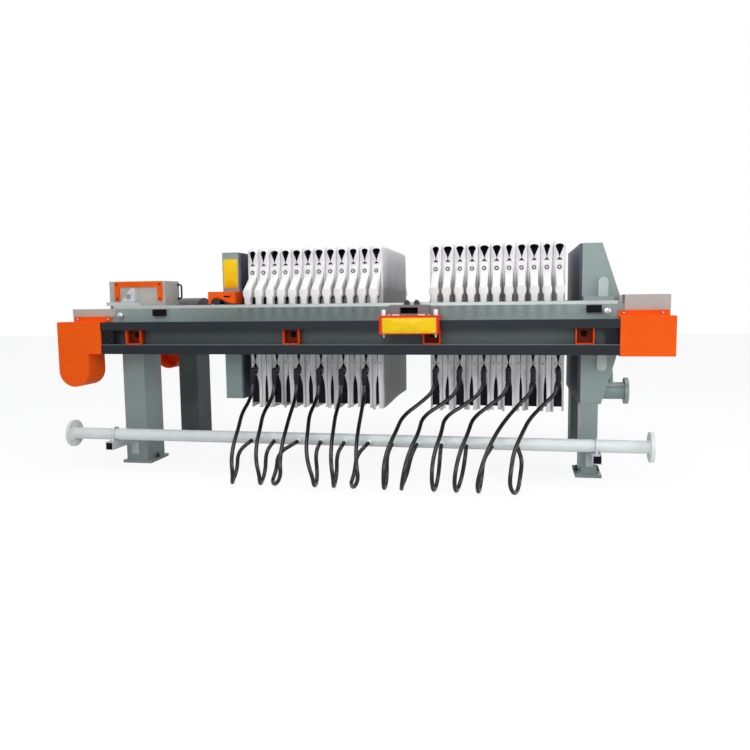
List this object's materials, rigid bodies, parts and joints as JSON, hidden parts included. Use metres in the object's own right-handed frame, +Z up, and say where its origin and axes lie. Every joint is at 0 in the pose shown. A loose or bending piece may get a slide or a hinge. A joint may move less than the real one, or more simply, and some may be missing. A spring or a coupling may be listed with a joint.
{
  "type": "plate filter press",
  "caption": "Floor-standing plate filter press: cloth-covered plates hung between two side beams, a hydraulic pressing head, a fixed head, chain-driven shifting trolleys and a hose manifold.",
  "frame": {"origin": "on the floor, under the middle of the press", "axes": "+X along the press from the hydraulic cylinder to the fixed head, -Y the side with the manifold and hoses, +Z up"},
  "size_m": [3.068, 1.5524, 1.1522],
  "materials": {
    "frame_paint": "satin grey-green machine enamel",
    "rail_paint": "satin dark slate enamel",
    "guard_paint": "orange enamel on sheet metal",
    "end_plate_paint": "pale grey-beige enamel",
    "wear_steel": "ground steel strip",
    "bright_steel": "ground and plated",
    "galvanised": "galvanised",
    "dark_steel": "dark enamel",
    "plate_plastic": "moulded polypropylene",
    "cloth": "woven filter cloth",
    "lining_plastic": "dark polymer lining",
    "buffer_rubber": "moulded rubber",
    "hose_rubber": "matt black rubber hose",
    "pipe_paint": "light grey enamel",
    "fitting_black": "moulded hose elbow"
  },
  "bodies": {
    "frame": {"near_beam": "frame_paint", "far_beam": "frame_paint", "wear_strips": "wear_steel", "beam_end_plates": "end_plate_paint", "near_guide_rail": "rail_paint", "far_guide_rail": "rail_paint", "rail_brackets": "guard_paint", "near_drive_guard": "guard_paint", "far_drive_guard": "guard_paint", "near_idler_guard": "guard_paint", "far_idler_guard": "guard_paint", "beam_buffers": "buffer_rubber", "tie_bolts": "bright_steel", "fixed_head": "frame_paint", "fixed_head_lining": "lining_plastic", "tie_lugs": "frame_paint", "rest_blocks": "frame_paint", "cylinder_seat": "end_plate_paint", "seat_frame": "guard_paint", "lifting_bracket": "galvanised", "cylinder_barrel": "dark_steel", "left_near_leg": "frame_paint", "left_far_leg": "frame_paint", "right_near_leg": "frame_paint", "right_far_leg": "frame_paint", "manifold_pipe": "pipe_paint", "manifold_supports": "galvanised", "feed_pipe": "pipe_paint", "outlet_pipes": "frame_paint", "hose_01": "hose_rubber", "hose_02": "hose_rubber", "hose_03": "hose_rubber", "hose_04": "hose_rubber", "hose_05": "hose_rubber", "hose_06": "hose_rubber", "hose_07": "hose_rubber", "hose_08": "hose_rubber", "hose_09": "hose_rubber", "hose_10": "hose_rubber", "hose_11": "hose_rubber", "hose_12": "hose_rubber"},
    "head": {"piston_rod": "bright_steel", "pressing_head": "frame_paint", "pressing_head_lining": "lining_plastic", "head_trays": "guard_paint", "head_rollers": "dark_steel"},
    "left_pack": {"left_plates": "plate_plastic", "left_cloths": "cloth", "left_handles": "plate_plastic", "left_fittings": "fitting_black"},
    "right_pack": {"right_plates": "plate_plastic", "right_cloths": "cloth", "right_handles": "plate_plastic", "right_fittings": "fitting_black"},
    "near_shuttle": {"near_trolley": "guard_paint", "near_trolley_claws": "frame_paint"},
    "far_shuttle": {"far_trolley": "guard_paint", "far_trolley_claws": "frame_paint"}
  },
  "joints": [
    {"name": "head_slide", "type": "slide", "parent": "frame", "child": "head", "axis": [1, 0, 0], "range_m": [0, 0.3325]},
    {"name": "left_pack_slide", "type": "slide", "parent": "frame", "child": "left_pack", "axis": [1, 0, 0], "range_m": [0, 0.2955]},
    {"name": "right_pack_slide", "type": "slide", "parent": "frame", "child": "right_pack", "axis": [1, 0, 0], "range_m": [0, 0.0605]},
    {"name": "near_trolley_slide", "type": "slide", "parent": "frame", "child": "near_shuttle", "axis": [1, 0, 0], "range_m": [-1.179, 0.723]},
    {"name": "far_trolley_slide", "type": "slide", "parent": "frame", "child": "far_shuttle", "axis": [1, 0, 0], "range_m": [-1.179, 0.723]}
  ],
  "couplings": [
    {"joint": "left_pack_slide", "follows": "head_slide", "ratio": 0.8887},
    {"joint": "right_pack_slide", "follows": "head_slide", "ratio": 0.1819},
    {"joint": "far_trolley_slide", "follows": "near_trolley_slide", "ratio": 1}
  ]
}
